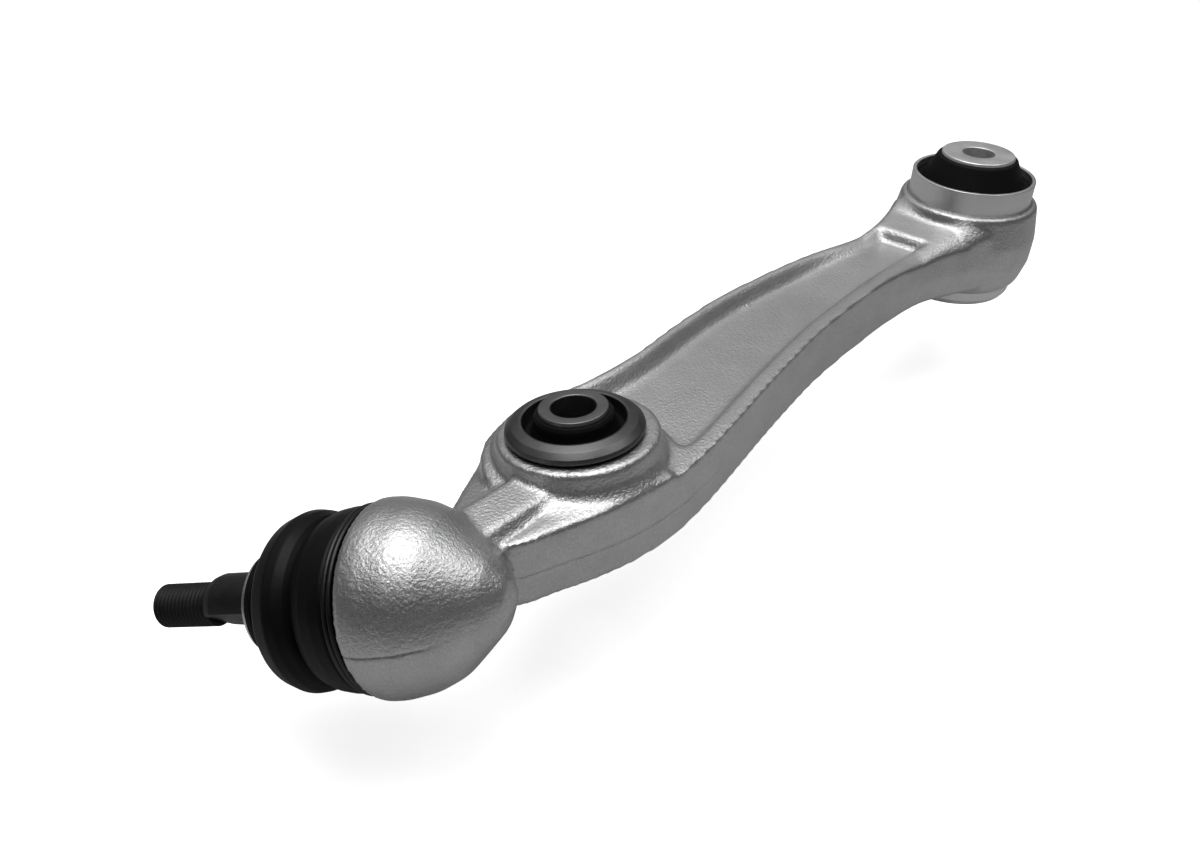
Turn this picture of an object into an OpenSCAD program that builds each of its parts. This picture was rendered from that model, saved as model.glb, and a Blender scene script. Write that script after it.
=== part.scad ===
// Forged light-alloy front lower control arm.
// Frame: millimetres, +Z along the chassis bush, origin at the middle of that bush's bore on the
// forging's parting plane, +X outboard along the line to the ball joint's centre.

/* [Arm forging] */
// Distance from the chassis bush to the ball centre
arm_reach = 343; // [330:1:360]
// Half height of the two ribs above the parting plane
rib_half_h = 12.5; // [11:0.5:14]
// Half thickness of the web between the ribs
web_half_h = 6; // [5:0.5:8]
// Width of the near rib, square to the arm
near_rib_w = 7.5; // [6:0.5:9]
// Width of the far rib, square to the arm
far_rib_w = 6; // [5:0.5:8]
// Bevel on the outer edges of the ribs
rib_bevel = 2.5; // [1:0.5:3]
// Height of the spine between the housing and the strut eye
spine_h = 16; // [14:0.5:18]
// Width of that spine
spine_w = 15; // [12:0.5:18]
// Height of the shoulder at the chassis eye
shoulder_h = 18; // [15:0.5:20]

/* [Strut eye and bush] */
// Distance from the chassis bush to the strut bush's axis, on the parting plane
strut_reach = 274; // [265:0.5:285]
// Lean of the strut bush's axis towards the far side
strut_lean = 6.7; // [0:0.1:10]
// Radius of the strut eye at its top edge
strut_eye_r = 26.5; // [25.5:0.5:29]
// Top face of the strut eye, along the bush's axis
strut_eye_top = 20.5; // [19:0.5:23]
// Bottom face of the strut eye, along the bush's axis
strut_eye_bottom = 13.5; // [12.5:0.5:16]
// Outer radius of the strut bush sleeve, a press fit in the eye
strut_sleeve_r = 19.8; // [19:0.1:21]
// Inner radius of that sleeve and of its conical head
strut_head_mouth_r = 16.8; // [16:0.1:17.5]
// Radius of the conical head
strut_head_r = 22.6; // [22:0.1:24]
// Mouth of the head, along the bush's axis
strut_head_top = 25.8; // [24:0.1:27]
// Outer edge of the head, along the bush's axis
strut_head_edge = 22.8; // [22:0.1:24]
// Bottom of the sleeve, along the bush's axis
strut_sleeve_bottom = 15; // [14:0.5:17]
// Bore radius of the strut bush inner sleeve, for an M14 bolt
strut_bolt_r = 7.25; // [6.5:0.05:7.5]
// Outer radius of the inner sleeve
strut_inner_r = 11.2; // [10:0.1:12]
// Top of the inner sleeve, along the bush's axis
strut_inner_top = 29.7; // [28:0.1:34]
// Bottom of the inner sleeve, along the bush's axis
strut_inner_bottom = 25.5; // [22:0.5:27]

/* [Chassis eye and bush] */
// Greatest radius of the chassis eye
chassis_eye_r = 34; // [33:0.5:36]
// Radius of the eye's top rim
chassis_eye_top_r = 31; // [30:0.5:32]
// Top of the chassis eye
chassis_eye_top = 23.5; // [22:0.5:25]
// Bottom of the chassis eye, below the parting plane
chassis_eye_bottom = 15.5; // [14:0.5:20]
// Outer radius of the chassis bush sleeve, a press fit in the eye
chassis_sleeve_r = 28.2; // [27:0.1:29]
// Wall of that sleeve
chassis_sleeve_wall = 1.8; // [1.5:0.1:2.5]
// Top of the sleeve
chassis_sleeve_top = 34.3; // [32:0.1:36]
// Bottom of the sleeve, below the parting plane
chassis_sleeve_bottom = 22.5; // [21:0.5:24]
// Bore radius of the chassis bush core, for an M14 bolt
chassis_bolt_r = 7.25; // [6.5:0.05:7.5]
// Radius of the core's end faces
chassis_core_r = 16.7; // [15:0.1:18]
// Radius of the core's waist inside the rubber
chassis_core_waist_r = 13; // [12:0.5:14]
// Top of the core
chassis_core_top = 44.2; // [42:0.1:46]
// Bottom of the core, below the parting plane
chassis_core_bottom = 27.5; // [26:0.5:30]

/* [Ball joint] */
// Turn of the stud's axis from the arm's line, about Z
stud_turn = -63; // [-70:0.5:-55]
// Angle of the stud's axis out of the parting plane
stud_dip = -18; // [-20:0.5:-12]
// Level of the ball centre, from the parting plane
ball_level = -1.7; // [-4:0.1:0]
// Radius of the ball
ball_r = 15; // [14:0.5:16]
// Running clearance between the parts that turn
run_gap = 0.05; // [0.02:0.01:0.08]
// Outer radius of the bearing race
race_r = 19.5; // [19:0.1:20]
// Greatest radius of the housing
housing_r = 29; // [28:0.5:30]
// Distance from the ball centre to the shoulder the boot butts on
housing_rim = 8; // [7.5:0.5:9]
// Outer radius of the turned spigot that carries the boot
spigot_r = 24.2; // [24:0.1:25]
// Distance from the ball centre to the mouth of the spigot
mouth = 15; // [14.5:0.5:16]
// Distance from the ball centre to the closed nose
nose = 33; // [31:0.5:35]

/* [Stud] */
// Radius of the neck next to the ball
neck_r = 7.5; // [7:0.1:8]
// Radius of the shank in the knuckle
shank_r = 9.4; // [9:0.1:9.8]
// Distance from the axis to the ground flat on the shank
shank_flat = 5.2; // [4.5:0.1:7]
// Where the flat faces, about the stud's axis
flat_turn = 54; // [0:1:359]
// Crest radius of the M14 x 1.5 thread
thread_r = 6.95; // [6.9:0.01:7]
// Distance from the ball centre to the first thread
thread_start = 71; // [68:0.5:72]
// Distance from the ball centre to the stud's end
stud_end = 94; // [90:0.5:95]

/* [Boot] */
// Radius of the boot's two folds
boot_r = 27; // [26:0.5:28]
// Wall of the boot
boot_wall = 2; // [1.5:0.1:2.5]
// Radius of the valley between the folds
valley_r = 23; // [22:0.5:24.5]
// Outer radius of the small lip
small_lip_r = 16.6; // [16:0.1:17]
// Distance from the ball centre to the boot's small end
boot_end = 48; // [46:0.1:49]

/* [Hidden] */

$fn = 96;
past = 1;                     // how far a cutter runs past the face that it cuts
bond_gap = 0.04;              // rubber to the sleeve that turns in it
spline_steps = 5;             // straight pieces between two outline points
clamp_wire_d = 1.6;           // wire of both boot clamps
seat_r = 15.4;                // flange of the stud's seat ring
seat_thick = 1.3;
seat_sleeve_r = 12.4;         // sleeve of the seat ring, inside the boot's small lip
small_lip_start = 43;       // where the boot's small lip begins
large_lip_end = 15.6;         // where the boot's large lip ends
pocket_end = 49;              // where the web pockets stop, from the chassis bush
root_flare = 4;               // growth of the strut eye's radius down to the web
housing_wall_floor = 19.6;    // depth of the cavity's floor behind the ball centre
race_floor = 17.1;            // depth of the race behind the ball centre
race_cone_start = 9;          // where the race starts to taper
race_floor_r = 12;
race_mouth = 8.4;             // front face of the race
ring_r = 21.5;                // closing ring and its counterbore
ring_back = 8.5;
ring_front = 12.3;
lip_r = 19.6;                 // rolled lip that holds the closing ring

// The arm's outline at the parting plane, outboard end first
near_side = [[330, 8], [319, 17.5], [306, 22], [292, 26], [276, 29.5], [258, 30.5], [240, 29], [218, 25],
             [195, 20.5], [172, 16.5], [149, 13], [126, 11], [101, 9.8], [79, 10], [58, 12.5],
             [40, 17.5], [22, 26]];
far_side = [[330, -5], [319, -12.5], [304, -22], [290, -30.5], [274, -35], [258, -35], [243, -31.5],
            [228, -29.7], [210, -30.5], [186, -33.5], [159, -35.5], [132, -35], [105, -33],
            [86, -30.5], [66, -26.5], [48, -24.5], [34, -25.5], [20, -29]];

// Point on the smooth curve through p at piece i, share s
function catmull(p, i, s) =
    let (a = p[max(i - 1, 0)], b = p[i], c = p[i + 1], d = p[min(i + 2, len(p) - 1)])
    0.5 * (2 * b + (c - a) * s + (2 * a - 5 * b + 4 * c - d) * s * s + (3 * b - a - 3 * c + d) * s * s * s);

// Every point of the smooth curve through p
function smooth_path(p) = concat(
    [for (i = [0 : len(p) - 2]) for (k = [0 : spline_steps - 1]) catmull(p, i, k / spline_steps)],
    [p[len(p) - 1]]);

// The points of p in the opposite order
function reversed(p) = [for (i = [len(p) - 1 : -1 : 0]) p[i]];

// Points of an arc, centre c, radius r, from angle a to angle b
function arc(c, r, a, b, n = 10) = [
    for (k = [0 : n]) let (turn = a + (b - a) * k / n) c + r * [cos(turn), sin(turn)]];

// Stands a shape made along +Z on the strut bush's axis
module on_strut_axis() {
    translate([strut_reach, 0, 0])
        rotate([strut_lean, 0, 0])
            children();
}

// Stands a shape made along +Z on the stud's axis, with the ball centre at its origin
module on_stud_axis() {
    translate([arm_reach, 0, ball_level])
        rotate([0, 0, stud_turn])
            rotate([0, 90 - stud_dip, 0])
                children();
}

// Outline of the arm between its three eyes
module arm_outline() {
    polygon(concat(smooth_path(near_side), reversed(smooth_path(far_side))));
}

// Outline of the pocket between the two ribs
module pocket_outline() {
    difference() {
        polygon(concat(
            smooth_path([for (i = [4 : 15]) near_side[i] - [0, near_rib_w]]),
            reversed(smooth_path([for (i = [4 : 15]) far_side[i] + [0, far_rib_w]]))));
        translate([strut_reach, 0]) circle(r = strut_eye_r + root_flare + 1);
        translate([-chassis_eye_r, -chassis_eye_r]) square([chassis_eye_r + pocket_end, 2 * chassis_eye_r]);
    }
}

// Slab with bevelled edges, the two ribs' full height
module arm_slab() {
    linear_extrude(height = 2 * (rib_half_h - rib_bevel), center = true) arm_outline();
    for (side = [0, 1]) mirror([0, 0, side])
        translate([0, 0, rib_half_h - rib_bevel])
            linear_extrude(height = rib_bevel) offset(delta = -rib_bevel / 2) arm_outline();
}

// Pockets that leave the web between the ribs
module web_pockets() {
    for (side = [0, 1]) mirror([0, 0, side])
        translate([0, 0, web_half_h])
            linear_extrude(height = rib_half_h) pocket_outline();
}

// Raised spine that runs from the housing into the strut eye, on both faces
module neck_spine() {
    spine_start = strut_reach + 12;
    translate([spine_start, 3.5 - spine_w / 2, -rib_half_h])
        cube([arm_reach - spine_start - 12, spine_w, rib_half_h + spine_h]);
}

// Shoulder that rises from the ribs to the chassis eye, on the top face
module chassis_shoulder() {
    intersection() {
        linear_extrude(height = 2 * rib_half_h) arm_outline();
        rotate([90, 0, 0])
            linear_extrude(height = 3 * chassis_eye_r, center = true)
                polygon([[20, 0], [pocket_end, 0], [pocket_end, shoulder_h - 3],
                         [chassis_eye_r - 1, shoulder_h], [20, shoulder_h]]);
    }
}

// Solid boss of the strut eye
module strut_boss() {
    fillet = 2;
    on_strut_axis()
        translate([-1, 0, 0])
            rotate_extrude()
                polygon(concat(
                    [[0, -strut_eye_bottom], [strut_eye_r, -strut_eye_bottom],
                     [strut_eye_r + 1.5, -strut_eye_bottom + 2]],
                    [[strut_eye_r + root_flare, 0], [strut_eye_r + root_flare, web_half_h + 1.5],
                     [strut_eye_r + 1, strut_eye_top - 5]],
                    arc([strut_eye_r - fillet, strut_eye_top - fillet], fillet, 0, 90),
                    [[0, strut_eye_top]]));
}

// Solid barrel of the chassis eye
module chassis_boss() {
    rotate_extrude()
        polygon([[0, -chassis_eye_bottom], [29.6, -chassis_eye_bottom], [31, -chassis_eye_bottom + 2],
                 [33, -7], [chassis_eye_r - 0.2, 0], [chassis_eye_r, 6], [33.2, 14],
                 [32, 20], [chassis_eye_top_r, chassis_eye_top - 1.2], [30, chassis_eye_top],
                 [0, chassis_eye_top]]);
}

// Solid of the ball-joint housing: a dome that tapers to a closed nose, and the turned spigot
module housing_solid() {
    rotate_extrude()
        polygon([[0, -nose], [3, -nose + 0.4], [7, -nose + 2], [11, -nose + 4.6], [14.6, -24.5],
                 [18, -20.5], [21.2, -17], [24.4, -12], [26.8, -6.6], [28.4, -1],
                 [housing_r, 3], [housing_r, housing_rim - 0.6], [housing_r - 0.6, housing_rim],
                 [spigot_r, housing_rim], [spigot_r, mouth - 0.6], [spigot_r - 0.6, mouth],
                 [0, mouth]]);
}

// Everything that is bored out of the housing: floor, race seat, counterbore and rolled lip
module housing_cavity() {
    rotate_extrude()
        polygon([[0, -housing_wall_floor], [race_floor_r + run_gap, -housing_wall_floor],
                 [race_floor_r + run_gap, -race_floor],
                 [race_r + run_gap, -race_cone_start], [race_r + run_gap, ring_back],
                 [ring_r, ring_back], [ring_r, ring_front], [lip_r, ring_front],
                 [lip_r, mouth + past], [0, mouth + past]]);
}

// The forging: arm, housing and both eyes in one piece, with its bores machined
module arm_forging() {
    color("silver")
    difference() {
        union() {
            difference() {
                arm_slab();
                web_pockets();
            }
            neck_spine();
            chassis_shoulder();
            strut_boss();
            chassis_boss();
            on_stud_axis() housing_solid();
        }
        on_strut_axis() cylinder(r = strut_sleeve_r, h = 4 * strut_eye_top, center = true);
        cylinder(r = chassis_sleeve_r, h = 4 * chassis_eye_top, center = true);
        on_stud_axis() housing_cavity();
    }
}

// Steel sleeve of the strut bush with its conical head on top of the eye
module strut_bush_outer_sleeve() {
    head_floor = strut_eye_top + 0.8;
    color("dimgray")
    on_strut_axis()
        rotate_extrude()
            polygon([[strut_head_mouth_r, -strut_sleeve_bottom], [strut_sleeve_r - 1, -strut_sleeve_bottom],
                     [strut_sleeve_r, -strut_sleeve_bottom + 1], [strut_sleeve_r, head_floor],
                     [strut_head_r - 0.5, head_floor], [strut_head_r, head_floor + 0.5],
                     [strut_head_r - 0.2, strut_head_edge], [strut_head_r - 2, strut_head_edge + 1.6],
                     [strut_head_mouth_r + 0.8, strut_head_top],
                     [strut_head_mouth_r, strut_head_top - 0.3]]);
}

// Rubber of the strut bush: dished at both ends, with a lip that hugs the inner sleeve
module strut_bush_rubber() {
    hug_r = strut_inner_r + bond_gap;
    color([0.07, 0.07, 0.07])
    on_strut_axis()
        rotate_extrude()
            polygon([[hug_r, 28], [hug_r + 0.9, 28], [hug_r + 1.5, 27.2], [hug_r + 1.8, 24.4],
                     [hug_r + 2.6, 22.4], [strut_head_mouth_r - 1, 21.6], [strut_head_mouth_r, 22.4],
                     [strut_head_mouth_r, -13.5], [strut_head_mouth_r - 1, -12.8], [hug_r + 2.6, -14],
                     [hug_r + 1.8, -20.5], [hug_r + 1.2, -22.5], [hug_r, -22.5]]);
}

// Steel bolt sleeve of the strut bush
module strut_bush_inner_sleeve() {
    bevel = 0.5;
    color("gray")
    on_strut_axis()
        rotate_extrude()
            polygon([[strut_bolt_r + bevel, -strut_inner_bottom],
                     [strut_inner_r - bevel, -strut_inner_bottom],
                     [strut_inner_r, -strut_inner_bottom + bevel], [strut_inner_r, strut_inner_top - bevel],
                     [strut_inner_r - bevel, strut_inner_top], [strut_bolt_r + bevel, strut_inner_top],
                     [strut_bolt_r, strut_inner_top - bevel], [strut_bolt_r, -strut_inner_bottom + bevel]]);
}

// Light sleeve of the chassis bush, proud of the eye on top and curled in at the bottom
module chassis_bush_outer_sleeve() {
    inner_r = chassis_sleeve_r - chassis_sleeve_wall;
    curl = 2;
    color("lightgray")
    rotate_extrude()
        polygon([[inner_r - curl, -chassis_sleeve_bottom],
                 [chassis_sleeve_r - curl, -chassis_sleeve_bottom],
                 [chassis_sleeve_r, -chassis_sleeve_bottom + 2.5],
                 [chassis_sleeve_r, chassis_sleeve_top - 0.5],
                 [chassis_sleeve_r - 0.5, chassis_sleeve_top], [inner_r + 0.3, chassis_sleeve_top],
                 [inner_r, chassis_sleeve_top - 0.3], [inner_r, -chassis_sleeve_bottom + 3.4],
                 [inner_r - curl, -chassis_sleeve_bottom + 1.4]]);
}

// Conical rubber of the chassis bush
module chassis_bush_rubber() {
    sleeve_in = chassis_sleeve_r - chassis_sleeve_wall;
    hug_r = chassis_core_waist_r + bond_gap;
    head_r = chassis_core_r + bond_gap;
    color([0.07, 0.07, 0.07])
    rotate_extrude()
        polygon([[hug_r, -20.5], [16.4, -20.5], [20, -17.5], [sleeve_in, -17.5], [sleeve_in, 31],
                 [sleeve_in - 1.6, 30.6], [sleeve_in - 3, 31.8], [19.6, 39.4], [18.3, 42],
                 [head_r + 0.3, 42.8], [head_r, 42.4], [head_r, 37.6], [hug_r, 31.6]]);
}

// Light-alloy bolt core of the chassis bush, waisted inside the rubber
module chassis_bush_inner_sleeve() {
    bevel = 0.6;
    foot_r = 15.6;
    color("lightgray")
    rotate_extrude()
        polygon([[chassis_bolt_r + bevel, -chassis_core_bottom], [foot_r - bevel, -chassis_core_bottom],
                 [foot_r, -chassis_core_bottom + bevel], [foot_r, -24.5],
                 [chassis_core_waist_r, -21.6], [chassis_core_waist_r, 31.6],
                 [chassis_core_r, 37.6], [chassis_core_r, chassis_core_top - bevel],
                 [chassis_core_r - bevel, chassis_core_top], [chassis_bolt_r + bevel, chassis_core_top],
                 [chassis_bolt_r, chassis_core_top - bevel], [chassis_bolt_r, -chassis_core_bottom + bevel]]);
}

// Elastic ring on the cavity floor that pushes the race against the ball
module race_preload_ring() {
    color("orange")
    on_stud_axis()
        rotate_extrude()
            polygon([[5, -housing_wall_floor], [race_floor_r - 0.5, -housing_wall_floor],
                     [race_floor_r - 0.5, -race_floor - run_gap], [5, -race_floor - run_gap]]);
}

// Acetal bearing shell round the ball
module ball_race() {
    flare_start = 6.5;
    color("ivory")
    on_stud_axis()
        difference() {
            rotate_extrude()
                polygon([[0, -race_floor], [race_floor_r - 0.03, -race_floor], [race_r, -race_cone_start],
                         [race_r, race_mouth], [0, race_mouth]]);
            sphere(r = ball_r + run_gap);
            translate([0, 0, flare_start]) cylinder(r1 = 13.5, r2 = 15, h = race_mouth - flare_start + 0.01);
        }
}

// Ring that closes the housing's mouth in front of the race
module closing_ring() {
    color("gray")
    on_stud_axis()
        rotate_extrude()
            polygon([[14.5, ring_back], [ring_r, ring_back], [ring_r, ring_front], [16.4, ring_front],
                     [14.5, ring_back + 1]]);
}

// Ball pin: ball, neck, shank with one ground flat, and the thread as a plain cylinder
module ball_stud() {
    chamfer = 1.2;
    color([0.12, 0.12, 0.12])
    on_stud_axis() {
        difference() {
            union() {
                sphere(r = ball_r);
                rotate_extrude()
                    polygon([[0, 0], [neck_r, 0], [neck_r, 24], [shank_r, 31], [shank_r, thread_start - 3.4],
                             [shank_r - 0.5, thread_start - 1.8], [thread_r, thread_start],
                             [thread_r, stud_end - chamfer],
                             [thread_r - chamfer, stud_end], [0, stud_end]]);
            }
            rotate([0, 0, flat_turn])
                translate([shank_flat, -shank_r - past, seat_top()])
                    cube([shank_r, 2 * (shank_r + past), thread_start - seat_top()]);
        }
    }
}

// Distance from the ball centre to the outer face of the seat ring
function seat_top() = boot_end + seat_thick + 0.1;

// Bright ring on the shank that the knuckle seats on and the small lip seals on
module stud_seat_ring() {
    color("white")
    on_stud_axis()
        rotate_extrude()
            polygon([[shank_r + run_gap, small_lip_start - 0.2], [seat_sleeve_r, small_lip_start - 0.2],
                     [seat_sleeve_r, boot_end + 0.1], [seat_r, boot_end + 0.1], [seat_r, seat_top() - 0.3],
                     [seat_r - 0.3, seat_top()], [shank_r + run_gap, seat_top()]]);
}

// Rubber boot with two folds, from the spigot's collar to the small lip
module boot() {
    outer = concat(
        [[spigot_r + 0.05, housing_rim + 0.5], [26.4, housing_rim + 0.5], [26.4, 12]],
        [[boot_r, 13.4], [boot_r, 17], [26.4, 20.4], [25, 23.4], [valley_r, 25], [valley_r, 25.8]],
        [[25, 26.6], [26.4, 28.6], [boot_r, 31.8], [26.4, 35], [24.6, 37.8], [21.6, 40.4], [18, 42.2]],
        [[15.8, small_lip_start], [15.8, 45.2], [small_lip_r, 45.6], [small_lip_r, boot_end - 0.4],
         [small_lip_r - 0.4, boot_end], [seat_sleeve_r + 0.05, boot_end]]);
    inner = [[seat_sleeve_r + 0.05, small_lip_start - 1.2], [16.8, 40.2], [20.4, 38.4], [23, 35.8],
             [24.8, 33], [25, 31.2], [24, 28.8], [valley_r - boot_wall, 26.4],
             [valley_r - boot_wall, 24.4], [23.4, 22], [24.6, 19], [24.9, large_lip_end],
             [spigot_r + 0.05, large_lip_end - 0.4]];
    color([0.05, 0.05, 0.05])
    on_stud_axis()
        rotate_extrude()
            polygon(concat(outer, inner));
}

// Two turns of spring wire round the boot's large lip
module boot_clamp_large() {
    color("dimgray")
    on_stud_axis()
        for (turn = [0, 1])
            rotate_extrude()
                translate([26.4 + clamp_wire_d / 2, housing_rim + 1.5 + turn * (clamp_wire_d - 0.06)])
                    circle(d = clamp_wire_d, $fn = 24);
}

// One turn of spring wire round the boot's small lip
module boot_clamp_small() {
    color("dimgray")
    on_stud_axis()
        rotate_extrude()
            translate([15.8 + clamp_wire_d / 2 + 0.02, small_lip_start + 1.2])
                circle(d = clamp_wire_d, $fn = 24);
}

arm_forging();
strut_bush_outer_sleeve();
strut_bush_rubber();
strut_bush_inner_sleeve();
chassis_bush_outer_sleeve();
chassis_bush_rubber();
chassis_bush_inner_sleeve();
race_preload_ring();
ball_race();
closing_ring();
ball_stud();
stud_seat_ring();
boot();
boot_clamp_large();
boot_clamp_small();
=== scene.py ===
import math

import bpy
from mathutils import Matrix, Vector


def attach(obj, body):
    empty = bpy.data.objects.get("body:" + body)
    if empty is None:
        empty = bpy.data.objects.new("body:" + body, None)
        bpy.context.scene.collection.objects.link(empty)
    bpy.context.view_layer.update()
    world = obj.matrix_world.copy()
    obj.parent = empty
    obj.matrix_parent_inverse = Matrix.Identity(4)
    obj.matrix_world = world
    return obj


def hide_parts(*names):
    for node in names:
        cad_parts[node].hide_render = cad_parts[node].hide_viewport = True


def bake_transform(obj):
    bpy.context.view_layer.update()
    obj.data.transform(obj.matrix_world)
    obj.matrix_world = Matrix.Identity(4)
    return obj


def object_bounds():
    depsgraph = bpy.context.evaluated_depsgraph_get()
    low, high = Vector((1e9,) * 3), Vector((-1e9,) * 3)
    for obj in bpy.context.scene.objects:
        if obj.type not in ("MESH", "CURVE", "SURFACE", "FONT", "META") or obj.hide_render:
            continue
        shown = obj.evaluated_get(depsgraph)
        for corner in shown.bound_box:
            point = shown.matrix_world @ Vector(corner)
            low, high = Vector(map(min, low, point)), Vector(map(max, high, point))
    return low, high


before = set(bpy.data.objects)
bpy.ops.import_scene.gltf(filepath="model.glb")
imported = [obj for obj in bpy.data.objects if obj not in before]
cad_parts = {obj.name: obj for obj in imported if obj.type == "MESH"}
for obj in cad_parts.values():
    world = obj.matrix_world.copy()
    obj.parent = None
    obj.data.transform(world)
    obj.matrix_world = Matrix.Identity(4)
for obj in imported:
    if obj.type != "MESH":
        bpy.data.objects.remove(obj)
cad_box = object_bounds()

# --- Camera ---------------------------------------------------------------------------------
# It stands past the ball-joint end, well above the plane of the forging, and looks back along
# the arm towards the chassis bush. Its place is in millimetres from the chassis bush's centre.
MM = 0.001
camera_place = Vector((467.5, 177.6, 205.1)) * MM
camera_data = bpy.data.cameras.new("camera")
camera_data.lens = 30.40
camera_data.sensor_width = 36
camera_data.clip_start = 0.01
camera = bpy.data.objects.new("camera", camera_data)
bpy.context.scene.collection.objects.link(camera)
camera_right = Vector((-0.6714, 0.7408, 0.0239)).normalized()
camera_forward = Vector((-0.6191, -0.5428, -0.5676)).normalized()
camera_right -= camera_forward * camera_right.dot(camera_forward)
camera_right.normalize()
camera_up = camera_right.cross(camera_forward)
camera.matrix_world = (Matrix.Translation(camera_place)
                       @ Matrix((camera_right, camera_up, -camera_forward)).transposed().to_4x4())
bpy.context.scene.camera = camera

# --- Studio ---------------------------------------------------------------------------------
# A pale floor lies below the part, low enough for the stud to lean without meeting it. One wide
# soft box hangs overhead and a small one beside it, in a room that is darker low down.


class Wiring:
    """Adds nodes to one tree and links them."""

    def __init__(self, tree):
        self.tree = tree

    def node(self, kind, links=None, **settings):
        """Adds a node, sets its properties and input values, and links sockets to its inputs."""
        made = self.tree.nodes.new(kind)
        for key, value in settings.items():
            if hasattr(made, key):
                setattr(made, key, value)
            else:
                made.inputs[key].default_value = value
        for socket, source in (links or {}).items():
            self.tree.links.new(source, made.inputs[socket])
        return made

    def math(self, operation, a, b):
        """Works on two values, each a number or a socket, and returns the result's socket."""
        made = self.tree.nodes.new("ShaderNodeMath")
        made.operation = operation
        for socket, value in zip(made.inputs, (a, b)):
            if isinstance(value, (int, float)):
                socket.default_value = value
            else:
                self.tree.links.new(value, socket)
        return made.outputs[0]

    def remap(self, value, low, high, to_low, to_high):
        """Maps the range low..high to to_low..to_high and stops at its ends."""
        made = self.node("ShaderNodeMapRange", {"Value": value})
        for name, number in (("From Min", low), ("From Max", high), ("To Min", to_low), ("To Max", to_high)):
            made.inputs[name].default_value = number
        return made.outputs["Result"]

    def mixed(self, factor, first, second):
        """Blends two colours; a mix node keeps its colours in sockets 6 and 7 and the blend in 2."""
        made = self.node("ShaderNodeMix", {"Factor": factor}, data_type="RGBA")
        made.inputs[6].default_value = (*first, 1)
        made.inputs[7].default_value = (*second, 1)
        return made.outputs[2]


def principled(material):
    """Clears a material's nodes and returns the wiring and the shader of a new set."""
    material.use_nodes = True
    material.node_tree.nodes.clear()
    wiring = Wiring(material.node_tree)
    shader = wiring.node("ShaderNodeBsdfPrincipled")
    wiring.node("ShaderNodeOutputMaterial", {"Surface": shader.outputs["BSDF"]})
    return wiring, shader


floor_gap = 28 * MM
floor_size = 12
bpy.ops.object.select_all(action="DESELECT")
bpy.ops.mesh.primitive_plane_add(size=floor_size, location=(0.2, 0, cad_box[0][2] - floor_gap))
floor = bpy.context.object
floor.name = "floor"
floor_paint = bpy.data.materials.new("floor_paint")
wiring, shader = principled(floor_paint)
shader.inputs["Roughness"].default_value = 0.9
shader.inputs["Emission Strength"].default_value = 1.0
seen = wiring.node("ShaderNodeLightPath").outputs["Is Camera Ray"]
for socket, to_the_part, to_the_camera in (("Base Color", 0.52, 0.92), ("Emission Color", 0.0, 0.75)):
    tone = wiring.mixed(seen, [to_the_part] * 3, [to_the_camera] * 3)
    wiring.tree.links.new(tone, shader.inputs[socket])
floor.data.materials.append(floor_paint)

room = bpy.data.worlds.new("room")
room.use_nodes = True
sky = Wiring(room.node_tree)
bright_side = (-0.25, -0.25, 0.93)
bright_level, dim_level = 0.55, 0.07
direction = sky.node("ShaderNodeTexCoord").outputs["Generated"]
facing = sky.node("ShaderNodeVectorMath", {0: direction}, operation="DOT_PRODUCT")
facing.inputs[1].default_value = bright_side
glow = sky.math("POWER", sky.remap(facing.outputs["Value"], 0.3, 0.95, 0, 1), 1.6)
room_level = sky.math("ADD", sky.math("MULTIPLY", glow, bright_level), dim_level)
white_backdrop = sky.node("ShaderNodeLightPath").outputs["Is Camera Ray"]
background = room.node_tree.nodes["Background"]
background.inputs["Color"].default_value = (1, 1, 1, 1)
sky.tree.links.new(sky.math("MAXIMUM", room_level, white_backdrop), background.inputs["Strength"])
bpy.context.scene.world = room
bpy.context.scene.view_settings.view_transform = "Standard"


def soft_box(name, place, target, width, height, power):
    """Hangs one rectangular soft box that faces the target, in metres and watts."""
    lamp_data = bpy.data.lights.new(name, "AREA")
    lamp_data.shape = "RECTANGLE"
    lamp_data.size = width
    lamp_data.size_y = height
    lamp_data.energy = power
    lamp = bpy.data.objects.new(name, lamp_data)
    bpy.context.scene.collection.objects.link(lamp)
    aim = (Vector(target) - Vector(place)).to_track_quat("-Z", "Y")
    lamp.matrix_world = Matrix.Translation(place) @ aim.to_matrix().to_4x4()


arm_middle = (0.2, 0, 0)
soft_box("overhead_box", (0.30, -0.10, 1.0), arm_middle, 0.8, 0.6, 4.6)
soft_box("side_box", (-0.15, 0.35, 0.85), arm_middle, 0.4, 0.3, 1.1)

# --- Arm forging ----------------------------------------------------------------------------
# One light-alloy forging: an I-section arm, the closed ball housing, the strut eye and the
# chassis eye. Hammered between two dies that part near z = 0, trimmed, blasted, then bored.
# Sizes are in millimetres, and the near side is the one with the larger y.
REACH = 343.0
STRUT_REACH = 274.0
STRUT_BORE = 19.8
CHASSIS_BORE = 28.2
near_edge = [(336, 4), (330, 8), (319, 17.5), (306, 22.2), (292, 27), (276, 30.4), (258, 31), (240, 29),
             (218, 25), (195, 20.5), (172, 16.5), (149, 13), (126, 11), (101, 9.8), (79, 10), (58, 12.5),
             (40, 17.5), (22, 26)]
far_edge = [(336, -2), (330, -5), (319, -12.5), (304, -21.5), (290, -29), (276, -33.5), (262, -33.5),
            (246, -31), (228, -29.7), (210, -30.5), (186, -33.5), (159, -35.5), (132, -35),
            (105, -33), (86, -30.5), (66, -26.5), (48, -24.5), (34, -25.5), (22, -28)]


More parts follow.
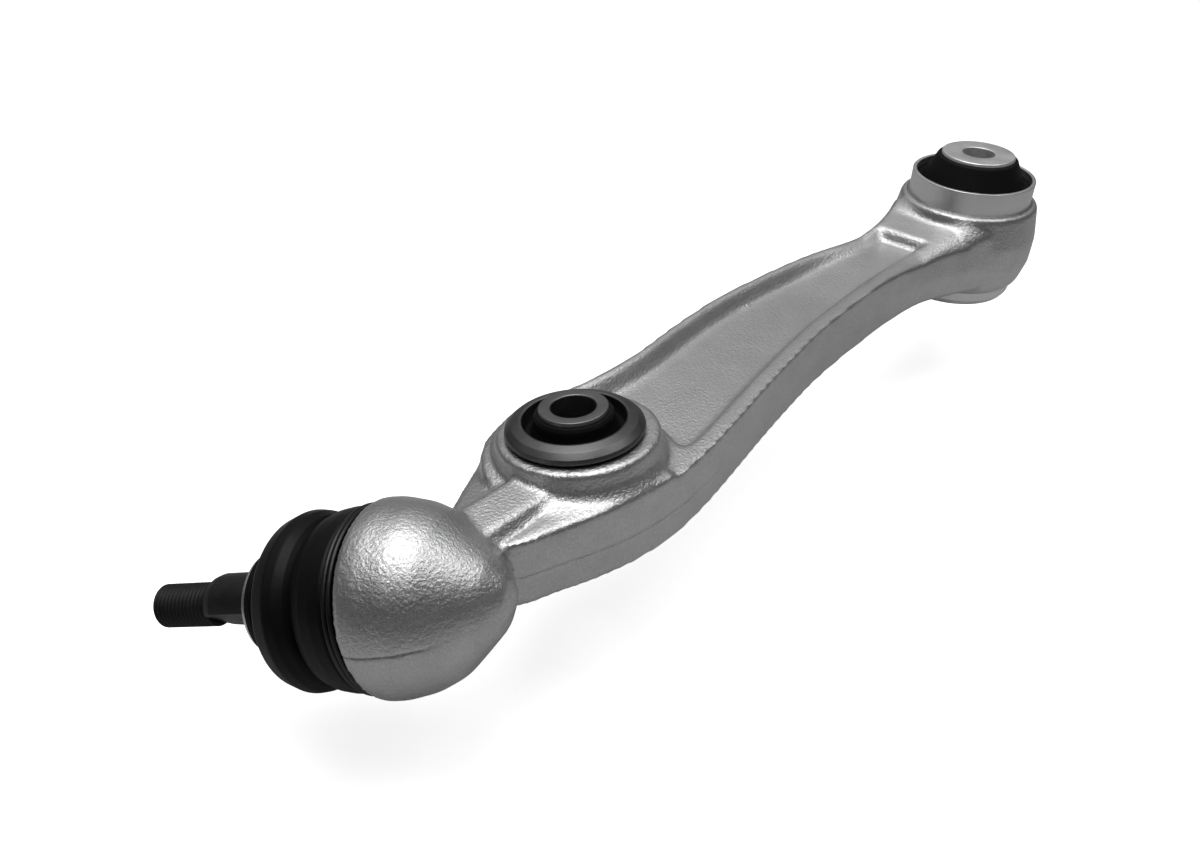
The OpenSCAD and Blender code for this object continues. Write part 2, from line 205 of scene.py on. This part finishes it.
def smooth_curve(points):
    """Returns points on a smooth curve through the given ones."""
    steps = 6
    curve = []
    for i in range(len(points) - 1):
        a, b, c, d = (Vector(points[min(max(i + k, 0), len(points) - 1)]) for k in (-1, 0, 1, 2))
        for k in range(steps):
            s = k / steps
            curve.append(0.5 * (2 * b + (c - a) * s + (2 * a - 5 * b + 4 * c - d) * s ** 2
                                + (3 * b - a - 3 * c + d) * s ** 3))
    return curve + [Vector(points[-1])]


near_curve = smooth_curve(near_edge)
far_curve = smooth_curve(far_edge)


def across(curve, x):
    """Returns an edge curve's y at x, and how much longer the slanted edge is than its x share."""
    for a, b in zip(curve, curve[1:]):
        if b.x <= x <= a.x:
            slope = (b.y - a.y) / (b.x - a.x)
            return a.y + (x - a.x) * slope, math.hypot(1, slope)
    return curve[-1].y, 1.0


def ease(value, low, high):
    """Goes smoothly from 0 at low to 1 at high."""
    s = min(max((value - low) / (high - low), 0), 1)
    return s * s * (3 - 2 * s)


def along(table, value):
    """Reads a profile, given as (position, level) pairs, with its corners partly smoothed."""
    if value <= table[0][0]:
        return table[0][1]
    for (a, low), (b, high) in zip(table, table[1:]):
        if value <= b:
            rise = high - low
            return low + rise * ease(value, a, b) * 0.4 + rise * (value - a) / (b - a) * 0.6
    return table[-1][1]


RIB_TOP = 12.6
WEB_TOP = 6
POCKET_END = 48.5
BOSS_X, BOSS_Y = STRUT_REACH - 1, 0.25
STRIP_RADIUS = 31.5
near_boss_strip = [(26, 17), (27.4, 15), (28.4, 14.3), (31.5, 13.7), (36, 13.2)]
far_boss_strip = [(26, 14), (28, 12.6)]
RIM_RADIUS = 31.0
LEDGE_X, LEDGE_LEVEL, LEDGE_CLIMB = 32.5, 18.0, 4.6


def neck_level(x, y):
    """Height of the neck between the strut boss and the ball housing: a spine with a groove beside
    it on the near side and a slope that falls away on the far side."""
    groove = 13.5 - 0.9 * ease(x, 290, 322) - 0.9 * ease(y, 10.4, 12.6) * (1 - ease(y, 13, 14.6))
    far_slope = 11.8 - 0.22 * max(-5 - y, 0)
    spine = 16 * ease(y, -6, -4) * (1 - 0.26 * ease(y, 9.2, 13.2))
    return max(groove if y > 4 else far_slope, spine)


def forged_level(x, y, upper):
    """Height of the forging's skin above the parting plane at (x, y), in millimetres."""
    near_y, near_slant = across(near_curve, x)
    far_y, far_slant = across(far_curve, x)
    from_near = (near_y - y) / near_slant
    from_far = (y - far_y) / far_slant

    # The ribs climb to a shoulder at the chassis eye, and the pocket's floor climbs with them.
    shoulder = 5.4 * min(max((60 - x) / 27, 0), 1) if upper else 2 * ease(60 - x, 0, 27)
    shoulder *= 1 - 0.6 * ease(y, 8, 24)
    rib = RIB_TOP + shoulder
    web = WEB_TOP + 3.8 * ease(120 - x, 0, 70)
    near_rib_width = 8.4 + 2 * ease(85 - x, 0, 32)
    far_rib_width = 5.2

    # The pocket ends at both ribs, at the strut boss and at the chassis eye, with round corners.
    boss_r = math.hypot(x - BOSS_X, y - BOSS_Y)
    past_near, past_boss = from_near - near_rib_width, boss_r - STRIP_RADIUS
    corner_round = 8
    corner = max(corner_round - abs(past_near - past_boss), 0) / corner_round
    inside = min(min(past_near, past_boss) - 2 * corner ** 2, (from_far - far_rib_width) * 0.54,
                 x - POCKET_END)
    level = rib - (rib - web) * ease(inside, -1.4, 2.4)

    neck = ease(x, 284, 292)
    if upper and neck > 0:
        level = level * (1 - neck) + neck * neck_level(x, y)
    if upper and x > 262 and boss_r < 33:
        level = max(level, along(near_boss_strip if y > 0 else far_boss_strip, boss_r))
    if upper and x < LEDGE_X and abs(y) < RIM_RADIUS - 1:
        climb = (LEDGE_X - x) / (LEDGE_X - math.sqrt(RIM_RADIUS ** 2 - y ** 2))
        level = LEDGE_LEVEL + LEDGE_CLIMB * min(climb, 1)

    # Both outer edges are rounded, the near one more and more towards the chassis eye.
    soft = ease(105 - x, 0, 65)
    for edge_distance, round_r in ((from_near, 2.6 + 8 * soft), (from_far, 2.8)):
        if edge_distance < round_r:
            fall = 1 - math.sqrt(max(1 - ((round_r - edge_distance) / round_r) ** 2, 0))
            level -= (2.2 + 4.5 * soft) * fall * (level / 14)
    return level


def forged_half(name, upper):
    """Shapes one die half of the arm from a grid whose columns run across it. The outer rows of
    each column climb the two side walls with a draft, and the others lie on the skin."""
    wall_steps, top_steps, columns = 8, 74, 230
    rows = 2 * wall_steps + top_steps
    first_x, last_x = 22.5, 335.0
    draft = 1.1
    side = 1 if upper else -1
    bpy.ops.object.select_all(action="DESELECT")
    bpy.ops.mesh.primitive_grid_add(x_subdivisions=columns, y_subdivisions=rows, size=2)
    half = bpy.context.object
    half.name = name
    for v in half.data.vertices:
        column = round((v.co.x + 1) / 2 * columns)
        row = round((v.co.y + 1) / 2 * rows)
        x = first_x + (last_x - first_x) * column / columns
        near_y, near_slant = across(near_curve, x)
        far_y, far_slant = across(far_curve, x)
        share = min(max((row - wall_steps) / top_steps, 0), 1)
        top_far = far_y + draft * far_slant
        top_near = near_y - draft * near_slant
        y = top_far + (top_near - top_far) * share
        z = forged_level(x, y, upper)
        if row < wall_steps:
            climb = row / wall_steps
            y, z = far_y + draft * far_slant * climb, z * climb
        elif row > rows - wall_steps:
            climb = (rows - row) / wall_steps
            y, z = near_y - draft * near_slant * climb, z * climb
        v.co = Vector((x, y, side * z)) * MM
    return half


def select_only(piece):
    """Makes one piece the only selected and the active one."""
    bpy.ops.object.select_all(action="DESELECT")
    piece.select_set(True)
    bpy.context.view_layer.objects.active = piece


def joined(name, parts):
    """Joins the parts into the first one."""
    select_only(parts[0])
    for part in parts[1:]:
        part.select_set(True)
    bpy.ops.object.join()
    parts[0].name = name
    return parts[0]


def rounded(corners, steps=5):
    """Turns (r, z) or (r, z, fillet) corners into a profile with rounded corners."""
    profile = []
    count = len(corners)
    for i, corner in enumerate(corners):
        here = Vector(corner[:2])
        fillet = corner[2] if len(corner) > 2 else 0
        if not fillet:
            profile.append(here)
            continue
        before = Vector(corners[i - 1][:2]) - here
        after = Vector(corners[(i + 1) % count][:2]) - here
        reach = min(fillet / math.tan(before.angle(after) / 2), before.length * 0.49, after.length * 0.49)
        start = here + before.normalized() * reach
        end = here + after.normalized() * reach
        for k in range(steps + 1):
            s = k / steps
            profile.append(start * (1 - s) ** 2 + here * 2 * s * (1 - s) + end * s ** 2)
    return profile


def turned(name, profile, centre=(0, 0, 0), closed=True):
    """Spins an (r, z) profile in millimetres round the Z axis and then moves it to the centre. An
    open profile runs from the axis to the axis, a closed one is the section of a ring."""
    bpy.ops.object.select_all(action="DESELECT")
    bpy.ops.mesh.primitive_circle_add(vertices=len(profile), radius=1)
    piece = bpy.context.object
    piece.name = name
    for v, (r, z) in zip(piece.data.vertices, profile):
        v.co = Vector((r, 0, z)) * MM
    if not closed:
        for edge in piece.data.edges:
            edge.select = set(edge.vertices) == {0, len(profile) - 1}
        for v in piece.data.vertices:
            v.select = False
        bpy.ops.object.mode_set(mode="EDIT")
        bpy.ops.mesh.select_mode(type="EDGE")
        bpy.ops.mesh.delete(type="EDGE_FACE")
    else:
        bpy.ops.object.mode_set(mode="EDIT")
    bpy.ops.mesh.select_mode(type="VERT")
    bpy.ops.mesh.select_all(action="SELECT")
    bpy.ops.mesh.spin(steps=128, angle=2 * math.pi, center=(0, 0, 0), axis=(0, 0, 1))
    bpy.ops.mesh.select_all(action="SELECT")
    bpy.ops.mesh.remove_doubles(threshold=0.01 * MM)
    bpy.ops.mesh.normals_make_consistent(inside=False)
    bpy.ops.object.mode_set(mode="OBJECT")
    piece.data.transform(Matrix.Translation(Vector(centre) * MM))
    return piece


stud_turn, stud_dip = math.radians(-63), math.radians(-18)
ball_centre = Vector((REACH, 0, -1.7)) * MM
stud_frame = (Matrix.Translation(ball_centre) @ Matrix.Rotation(stud_turn, 4, "Z")
              @ Matrix.Rotation(math.pi / 2 - stud_dip, 4, "Y"))


def on_stud_axis(piece):
    """Stands a piece made round the Z axis on the ball stud's axis."""
    piece.data.transform(stud_frame)
    return piece


STRUT_LEAN = math.radians(6.7)


def on_strut_axis(piece):
    """Stands a piece made round the Z axis on the strut bush's leaning axis."""
    piece.data.transform(Matrix.Translation(Vector((STRUT_REACH, 0, 0)) * MM)
                         @ Matrix.Rotation(STRUT_LEAN, 4, "X"))
    return piece


housing_skin = rounded([(0, -33), (4.5, -32.6, 3), (11.5, -28.2, 6), (17.6, -21, 10), (23.8, -13.4, 12),
                        (27.2, -6, 12), (29, 2, 10), (29.2, 8, 1.4), (24.2, 8), (24.2, 15, 0.8), (0, 15)])
housing = turned("housing", housing_skin, closed=False)
nose_shift = Vector((0.6, 0, 2.0)) * MM
for v in housing.data.vertices:
    v.co += nose_shift * ease(-v.co.z / MM, 8, 33)
on_stud_axis(housing)
barrel_skin = rounded([(0, 23.6), (31.4, 23.6, 2.2), (32.2, 19, 4), (34, 8, 8), (33.9, -3, 10),
                       (31.4, -12.5, 5), (29.4, -15.5, 1.6), (0, -15.5)])
barrel = turned("barrel", barrel_skin, closed=False)
strut_boss_skin = rounded([(0, -13.5), (26.5, -13.5, 1.5), (28, -11, 2), (29, 0, 4), (28.5, 10, 4),
                           (27.3, 15.5, 2), (26.6, 20.5, 1.6), (0, 20.5)])
strut_boss = on_strut_axis(turned("strut_boss", strut_boss_skin, (BOSS_X - STRUT_REACH, 0, 0), closed=False))
forging = joined("control_arm_forging", [forged_half("upper_half", True), forged_half("lower_half", False)])


def edit_all(piece):
    """Opens a piece in edit mode with everything selected."""
    select_only(piece)
    bpy.ops.object.mode_set(mode="EDIT")
    bpy.ops.mesh.select_mode(type="VERT")
    bpy.ops.mesh.select_all(action="SELECT")


def close_ends(piece, fill):
    """Fills a piece's open ends with the given operator and turns its faces outwards."""
    edit_all(piece)
    bpy.ops.mesh.select_all(action="DESELECT")
    bpy.ops.mesh.select_non_manifold()
    fill()
    bpy.ops.mesh.select_all(action="SELECT")
    bpy.ops.mesh.normals_make_consistent(inside=False)
    bpy.ops.object.mode_set(mode="OBJECT")


edit_all(forging)
bpy.ops.mesh.remove_doubles(threshold=0.02 * MM)
bpy.ops.object.mode_set(mode="OBJECT")
close_ends(forging, bpy.ops.mesh.fill)
forging = joined("control_arm_forging", [forging, housing, barrel, strut_boss])


def finish_with(piece, kind, **settings):
    """Adds one modifier to a piece with its settings and applies it."""
    select_only(piece)
    bpy.ops.object.modifier_add(type=kind)
    modifier = piece.modifiers[-1]
    for key, value in settings.items():
        setattr(modifier, key, value)
    bpy.ops.object.modifier_apply(modifier=modifier.name)


def cut_with(piece, cutter):
    """Cuts the cutter out of a piece and removes the cutter."""
    finish_with(piece, "BOOLEAN", object=cutter, operation="DIFFERENCE", solver="EXACT")
    bpy.data.objects.remove(cutter)


finish_with(forging, "REMESH", mode="VOXEL", voxel_size=1.1 * MM)
finish_with(forging, "SMOOTH", factor=0.5, iterations=5)


def parting_level(place):
    """Level of the line where the dies met: flat on the arm, climbing round the ball housing."""
    x, y = place.x / MM, place.y / MM
    return 0.24 * max(y - 5, 0) * ease(x, 335, 348) * MM


# The trimmed flash leaves a fine groove where the dies met: the skin gets three rows of vertices
# along it, and the middle row is pushed in.
line_rows = (-0.5, 0, 0.5)
housing_groove, arm_groove = 0.28, 0.2
for v in forging.data.vertices:
    v.co.z -= parting_level(v.co)
    for row in line_rows:
        if abs(v.co.z / MM - row) < 0.22:
            v.co.z = row * MM
edit_all(forging)
for level in line_rows:
    bpy.ops.mesh.select_all(action="SELECT")
    bpy.ops.mesh.bisect(plane_co=(0, 0, level * MM), plane_no=(0, 0, 1))
bpy.ops.object.mode_set(mode="OBJECT")
for v in forging.data.vertices:
    if abs(v.co.z) < 0.02 * MM:
        if v.co.x > 335 * MM:
            outward = Vector((v.co.x - ball_centre.x, v.co.y, 0))
            depth = housing_groove * (1 - ease(v.co.y / MM, 18, 26))
        else:
            outward = Vector((0, v.co.y, 0))
            depth = arm_groove * ease(v.co.x / MM, 180, 250)
        v.co -= outward.normalized() * depth * MM
for v in forging.data.vertices:
    v.co.z += parting_level(v.co)

past = 40
strut_bore = [(0, -past), (STRUT_BORE, -past), (STRUT_BORE, past), (0, past)]
cut_with(forging, on_strut_axis(turned("strut_bore", strut_bore, closed=False)))
mouth = CHASSIS_BORE + 1.4
chassis_bore = [(0, -past), (CHASSIS_BORE, -past), (CHASSIS_BORE, 22.3), (mouth, 23.9), (mouth, past),
                (0, past)]
cut_with(forging, turned("chassis_bore", chassis_bore, closed=False))
ball_cavity = [(0, -19.6), (12.05, -19.6), (12.05, -17.1), (19.55, -9), (19.55, 8.5),
               (21.5, 8.5), (21.5, 12.3), (19.6, 12.3), (19.6, 17), (0, 17)]
cut_with(forging, on_stud_axis(turned("ball_cavity", ball_cavity, closed=False)))
select_only(forging)
bpy.ops.object.shade_smooth_by_angle(angle=math.radians(35))


def effect_group(name, inputs, outputs):
    """Starts a shader node group with the given inputs and with number outputs."""
    group = bpy.data.node_groups.new(name, "ShaderNodeTree")
    for socket, kind in inputs:
        group.interface.new_socket(socket, in_out="INPUT", socket_type=kind)
    for socket in outputs:
        group.interface.new_socket(socket, in_out="OUTPUT", socket_type="NodeSocketFloat")
    source = group.nodes.new("NodeGroupInput")
    sink = group.nodes.new("NodeGroupOutput")
    return Wiring(group), source.outputs, sink.inputs


# Craters and grit that steel shot leaves, with a slow mottle across the skin.
wiring, given, result = effect_group(
    "blasted_skin", [("Place", "NodeSocketVector"), ("Grain", "NodeSocketFloat")],
    ("Height", "Mottle", "Sparkle"))
blasted_skin = wiring.tree
craters = wiring.node("ShaderNodeTexNoise", {"Vector": given["Place"], "Scale": given["Grain"]}, Detail=1.0)
grit = wiring.node("ShaderNodeTexNoise",
                   {"Vector": given["Place"], "Scale": wiring.math("MULTIPLY", given["Grain"], 2.3)},
                   Detail=3.0, Roughness=0.65)
mottle = wiring.node("ShaderNodeTexNoise",
                     {"Vector": given["Place"], "Scale": wiring.math("MULTIPLY", given["Grain"], 0.09)},
                     Detail=4.0, Roughness=0.6)
grit_height = wiring.math("MULTIPLY", grit.outputs["Fac"], 0.6)
for socket, value in (("Height", wiring.math("ADD", craters.outputs["Fac"], grit_height)),
                      ("Mottle", wiring.remap(mottle.outputs["Fac"], 0.3, 0.7, 0, 1)),
                      ("Sparkle", wiring.remap(grit.outputs["Fac"], 0.42, 0.62, 0, 1))):
    wiring.tree.links.new(value, result[socket])


def grained(name, grain, depth, metallic):
    """Starts a material with the blasted skin's bump, grain per metre and depth in millimetres, and
    returns it with its wiring, its shader and the skin's outputs."""
    material = bpy.data.materials.new(name)
    wiring, shader = principled(material)
    place = wiring.node("ShaderNodeTexCoord").outputs["Object"]
    skin = wiring.node("ShaderNodeGroup", {"Place": place}, node_tree=blasted_skin, Grain=grain)
    bump = wiring.node("ShaderNodeBump", {"Height": skin.outputs["Height"]}, Distance=depth * MM)
    wiring.tree.links.new(bump.outputs["Normal"], shader.inputs["Normal"])
    shader.inputs["Metallic"].default_value = metallic
    return material, wiring, shader, skin.outputs


def blasted_metal(name, dark, light, roughness, grain, depth):
    """A metal skin with shot-blast craters, whose colour and roughness vary with them."""
    material, wiring, shader, skin = grained(name, grain, depth, 1.0)
    blend = wiring.math("ADD", wiring.math("MULTIPLY", skin["Mottle"], 0.5),
                        wiring.math("MULTIPLY", skin["Sparkle"], 0.5))
    colour = wiring.mixed(blend, [dark] * 3, (light, light, light * 1.005))
    wiring.tree.links.new(colour, shader.inputs["Base Color"])
    wiring.tree.links.new(wiring.remap(skin["Sparkle"], 0, 1, roughness + 0.08, roughness - 0.08),
                          shader.inputs["Roughness"])
    return material


forging.data.materials.clear()
forging.data.materials.append(blasted_metal("forged_alloy", 0.53, 0.67, 0.36, 880, 0.19))
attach(forging, "arm")
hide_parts("arm_forging")

# --- Strut bush outer sleeve ----------------------------------------------------------------
# A dark phosphated steel sleeve with a coned head, pressed into the strut eye up to its head.
# The rubber is bonded inside it.


def plain_finish(name, grey, roughness, metallic, grain=900, depth=0.03, spread=0.15):
    """A finish with a fine grain that moves its grey and roughness a little. Black rubber reflects
    less than paler finishes do."""
    material, wiring, shader, skin = grained(name, grain, depth, metallic)
    shader.inputs["Specular IOR Level"].default_value = 0.5 if metallic or grey > 0.1 else 0.16
    colour = wiring.mixed(skin["Mottle"], [grey * (1 - spread)] * 3, [grey * (1 + spread)] * 3)
    wiring.tree.links.new(colour, shader.inputs["Base Color"])
    wiring.tree.links.new(wiring.remap(skin["Mottle"], 0, 1, roughness - 0.06, roughness + 0.06),
                          shader.inputs["Roughness"])
    return material


def dress(piece, material, body, slot, *nodes):
    """Gives a new piece its finish and its body, and hides the CAD nodes that it stands for. The boot
    comes without a body; its two lips sit on two different ones."""
    piece.data.materials.clear()
    piece.data.materials.append(material)
    select_only(piece)
    bpy.ops.object.shade_smooth_by_angle(angle=math.radians(30))
    if body:
        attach(piece, body)
    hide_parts(*nodes)


STRUT_SLEEVE_INSIDE = 16.8
phosphated_steel = plain_finish("phosphated_steel", 0.135, 0.42, 1.0)
strut_collar = on_strut_axis(turned("strut_bush_collar", rounded([
    (STRUT_SLEEVE_INSIDE, -15), (19.2, -15, 0.4), (STRUT_BORE, -14, 0.4), (STRUT_BORE, 21.3),
    (22.2, 21.3, 0.4), (22.7, 22.0, 0.4), (22.4, 23.2, 0.8), (20.4, 24.9, 1.5), (17.7, 25.9, 0.6),
    (STRUT_SLEEVE_INSIDE, 25.7, 0.3)])))
dress(strut_collar, phosphated_steel, "arm", "sleeve_steel", "strut_bush_outer_sleeve")

# --- Strut bush rubber ----------------------------------------------------------------------
# Black rubber moulded between the two steel sleeves. It rises to a lip round the bolt sleeve and
# sinks to a moat beside it.
bush_rubber = plain_finish("bush_rubber", 0.004, 0.6, 0.0, grain=600, depth=0.05)
strut_rubber = on_strut_axis(turned("strut_bush_rubber_body", rounded([
    (11.24, 28.2), (12.2, 28.2, 0.4), (12.9, 27.0, 0.8), (13.2, 24.2, 1.2), (14.2, 21.4, 1.0),
    (16.0, 21.2, 0.5), (STRUT_SLEEVE_INSIDE, 22.4), (STRUT_SLEEVE_INSIDE, -13.5), (15.8, -12.8, 0.6),
    (13.8, -14, 1.0), (13.0, -20.5, 0.8), (12.4, -22.5, 0.4), (11.24, -22.5)])))
dress(strut_rubber, bush_rubber, "arm", "bush_rubber", "strut_bush_rubber")

# --- Strut bolt sleeve ----------------------------------------------------------------------
# A turned steel sleeve in the middle of the strut bush. Its ends stand proud, so that the fork of
# the strut clamps on them when the M14 bolt is pulled up.
BOLT_BORE = 7.25
turned_steel = plain_finish("turned_steel", 0.22, 0.40, 1.0)
strut_bolt_sleeve = on_strut_axis(turned("strut_bolt_sleeve", rounded([
    (BOLT_BORE, -25.5, 0.6), (11.2, -25.5, 0.4), (11.2, 29.7, 0.4), (BOLT_BORE, 29.7, 0.6)])))
dress(strut_bolt_sleeve, turned_steel, "strut_sleeve", "bolt_sleeve_steel", "strut_bush_inner_sleeve")

# --- Chassis bush outer sleeve --------------------------------------------------------------
# A thin turned light-alloy sleeve, pressed into the big eye. It stands proud on top and turns in a
# little at the bottom to hold the rubber.
turned_alloy = plain_finish("turned_alloy", 0.74, 0.36, 1.0, grain=1100, spread=0.08)
chassis_sleeve = turned("chassis_bush_sleeve", rounded([
    (24.4, -22.5, 0.5), (26.2, -22.5, 1.5), (CHASSIS_BORE, -19.6, 2), (CHASSIS_BORE, 34.3, 0.5),
    (26.4, 34.3, 0.4), (26.4, -18.8, 2), (24.4, -20.9, 0.5)]))
dress(chassis_sleeve, turned_alloy, "arm", "sleeve_alloy", "chassis_bush_outer_sleeve")

# --- Chassis bush rubber --------------------------------------------------------------------
# A body of the same black rubber as in the strut bush. It fills the sleeve and rises in a cone to
# the head of the bolt core.
chassis_rubber = turned("chassis_bush_rubber_body", rounded([
    (13.04, -20.5), (16.4, -20.5, 0.8), (20, -17.5, 2), (26.4, -17.5), (26.4, 31.2), (25.4, 30.2, 0.6),
    (23.6, 31.4, 1.2), (19.8, 39, 2.5), (18.3, 42.2, 1), (17, 42.9, 0.3), (16.74, 42.4), (16.74, 37.6),
    (13.04, 31.6)]))
dress(chassis_rubber, bush_rubber, "arm", "bush_rubber", "chassis_bush_rubber")

# --- Chassis bolt core ----------------------------------------------------------------------
# A turned light-alloy core, waisted inside the rubber, whose two end faces are clamped between
# the subframe's ears.
core_alloy = plain_finish("core_alloy", 0.80, 0.42, 1.0, depth=0.04, spread=0.08)
chassis_core = turned("chassis_bush_core", rounded([
    (BOLT_BORE, -27.5, 0.7), (15.6, -27.5, 0.5), (15.6, -24.5), (13, -21.6), (13, 31.6), (16.7, 37.6),
    (16.7, 44.2, 0.9), (BOLT_BORE, 44.2, 0.8)]))
dress(chassis_core, core_alloy, "chassis_core", "core_alloy", "chassis_bush_inner_sleeve")

# --- Ball joint internals -------------------------------------------------------------------
# An elastic ring pushes the acetal race against the ball, and a steel ring closes the housing's
# mouth. All three are hidden, so they keep the CAD's shapes and only get their finishes.


def repaint(node, material):
    """Gives a CAD node its finished material."""
    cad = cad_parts[node]
    cad.data.materials.clear()
    cad.data.materials.append(material)


repaint("ball_race", plain_finish("acetal", 0.72, 0.4, 0.0, grain=500, depth=0.02, spread=0.04))
repaint("race_preload_ring", plain_finish("preload_elastomer", 0.06, 0.6, 0.0, grain=700, depth=0.05))
repaint("closing_ring", plain_finish("closing_steel", 0.4, 0.35, 1.0))

# --- Ball stud ------------------------------------------------------------------------------
# Forged and turned steel, black phosphated. The shank has one ground flat, and the end has a
# rolled M14 x 1.5 thread.
BALL_RADIUS = 15
black_phosphate = plain_finish("black_phosphate", 0.02, 0.45, 0.5, grain=1300, depth=0.04, spread=0.3)
ball_skin = [(0, -BALL_RADIUS)]
for degrees in range(-86, 51, 8):
    angle = math.radians(degrees)
    ball_skin.append((BALL_RADIUS * math.cos(angle), BALL_RADIUS * math.sin(angle)))
shank_skin = [(7.5, 14.6, 1.5), (7.5, 25, 2), (9.4, 31, 2), (9.4, 67.6, 1.6), (8.6, 70.2, 1.0),
              (6.4, 71.0, 0.5), (6.2, 92), (4.6, 94, 1.4), (0, 94)]
stud = turned("ball_stud_body", rounded(ball_skin + shank_skin), closed=False)
FLAT_FROM_AXIS, FLAT_DEPTH, FLAT_WIDTH = 5.2, 6, 30
FLAT_START, FLAT_LENGTH = 49.4, 21.6
FLAT_TURN = math.radians(54)
bpy.ops.object.select_all(action="DESELECT")
bpy.ops.mesh.primitive_cube_add(size=1)
flat_cutter = bpy.context.object
for v in flat_cutter.data.vertices:
    v.co = Vector((FLAT_FROM_AXIS + FLAT_DEPTH * (v.co.x + 0.5), FLAT_WIDTH * v.co.y,
                   FLAT_START + FLAT_LENGTH * (v.co.z + 0.5))) * MM
flat_cutter.data.transform(Matrix.Rotation(FLAT_TURN, 4, "Z"))
cut_with(stud, flat_cutter)

PITCH, TURNS = 1.5, 14
THREAD_START = 70.8
thread_section = [(6.05, 0.05), (6.83, 0.56), (6.95, 0.66), (6.95, 0.84), (6.83, 0.94), (6.05, 1.45)]
bpy.ops.object.select_all(action="DESELECT")
bpy.ops.mesh.primitive_circle_add(vertices=len(thread_section), radius=1)
thread = bpy.context.object
thread.name = "thread"
for v, (r, z) in zip(thread.data.vertices, thread_section):
    v.co = Vector((r, 0, THREAD_START + z)) * MM


def coiled(piece, turns, pitch, steps):
    """Screws a section round the Z axis, with the pitch in millimetres and steps to a turn."""
    finish_with(piece, "SCREW", angle=2 * math.pi * turns, screw_offset=pitch * turns * MM,
                steps=int(steps * turns), render_steps=int(steps * turns), use_merge_vertices=False)


coiled(thread, TURNS, PITCH, steps=48)
close_ends(thread, bpy.ops.mesh.edge_face_add)
stud = on_stud_axis(joined("ball_stud_body", [stud, thread]))
dress(stud, black_phosphate, "stud", "stud_steel", "ball_stud")

# --- Seat ring ------------------------------------------------------------------------------
# A zinc-plated steel ring that fits on the shank. The boot's small lip grips it, and the
# knuckle's face rests on its outer end.
zinc_plate = plain_finish("zinc_plate", 0.78, 0.28, 1.0, depth=0.02, spread=0.06)
seat_ring = on_stud_axis(turned("seat_ring", rounded([
    (9.45, 42.8), (12.4, 42.8, 0.4), (12.4, 48.1, 0.4), (15.5, 48.1, 0.3), (15.5, 49.4, 0.4),
    (9.45, 49.4, 0.5)])))
dress(seat_ring, zinc_plate, "seal_seat", "ring_steel", "stud_seat_ring")

# --- Boot -----------------------------------------------------------------------------------
# Moulded black rubber with two folds, packed with grease. Its large lip sits on the housing and
# its small lip on the seat ring.
boot_outer = [(24.25, 8.5), (26.4, 8.5, 0.3), (26.4, 12.2, 0.4), (27.2, 13.4, 1), (27.1, 17, 2),
              (26.6, 20.6, 1.5), (25.4, 23.6, 0.8), (22.6, 25.3, 0.5), (25.2, 26.9, 0.8), (26.7, 29.4, 2.5),
              (27.1, 32.4, 2.5), (25.4, 37.2, 3), (21.6, 40.6, 3), (18, 42.4, 1), (15.8, 43, 0.3),
              (15.8, 45.2, 0.2), (16.6, 45.6, 0.2), (16.6, 47.6, 0.4), (12.45, 48)]
boot_inner = [(12.45, 41.8), (16.8, 40.2, 1), (20.4, 38.2, 2), (23.2, 35.6, 2), (25, 32.8, 2), (25, 30, 2),
              (23.4, 28, 1), (20.6, 26.3, 0.6), (20.6, 24.4, 0.6), (23.4, 22, 1), (24.7, 19, 2),
              (24.9, 15.6, 0.5), (24.25, 15.2)]
boot = on_stud_axis(turned("boot_bellows", rounded(boot_outer + boot_inner, steps=6)))
boot_rubber = plain_finish("boot_rubber", 0.005, 0.42, 0.0, grain=500, depth=0.05, spread=0.3)
dress(boot, boot_rubber, None, "boot_rubber", "boot")
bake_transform(boot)

# --- Boot clamps ----------------------------------------------------------------------------
# Rings of blackened spring wire that press the boot's lips down. The large lip has two close
# turns round it and the small lip has one.


def wire_ring(name, radius, start, turns, wire):
    """Coils a spring-wire ring round the stud's axis, with its two ends closed."""
    bpy.ops.object.select_all(action="DESELECT")
    bpy.ops.mesh.primitive_circle_add(vertices=14, radius=wire / 2 * MM)
    ring = bpy.context.object
    ring.name = name
    ring.data.transform(Matrix.Translation(Vector((radius, 0, start)) * MM)
                        @ Matrix.Rotation(math.pi / 2, 4, "X"))
    coiled(ring, turns, wire * 1.04, steps=96)
    close_ends(ring, bpy.ops.mesh.fill)
    return on_stud_axis(ring)


spring_wire = plain_finish("spring_wire", 0.05, 0.35, 1.0)
large_ring = wire_ring("large_lip_ring", radius=27.15, start=9.3, turns=1.95, wire=1.5)
dress(large_ring, spring_wire, "arm", "wire_steel", "boot_clamp_large")
small_ring = wire_ring("small_lip_ring", radius=16.5, start=43.5, turns=1.0, wire=1.4)
dress(small_ring, spring_wire, "seal_seat", "wire_steel", "boot_clamp_small")
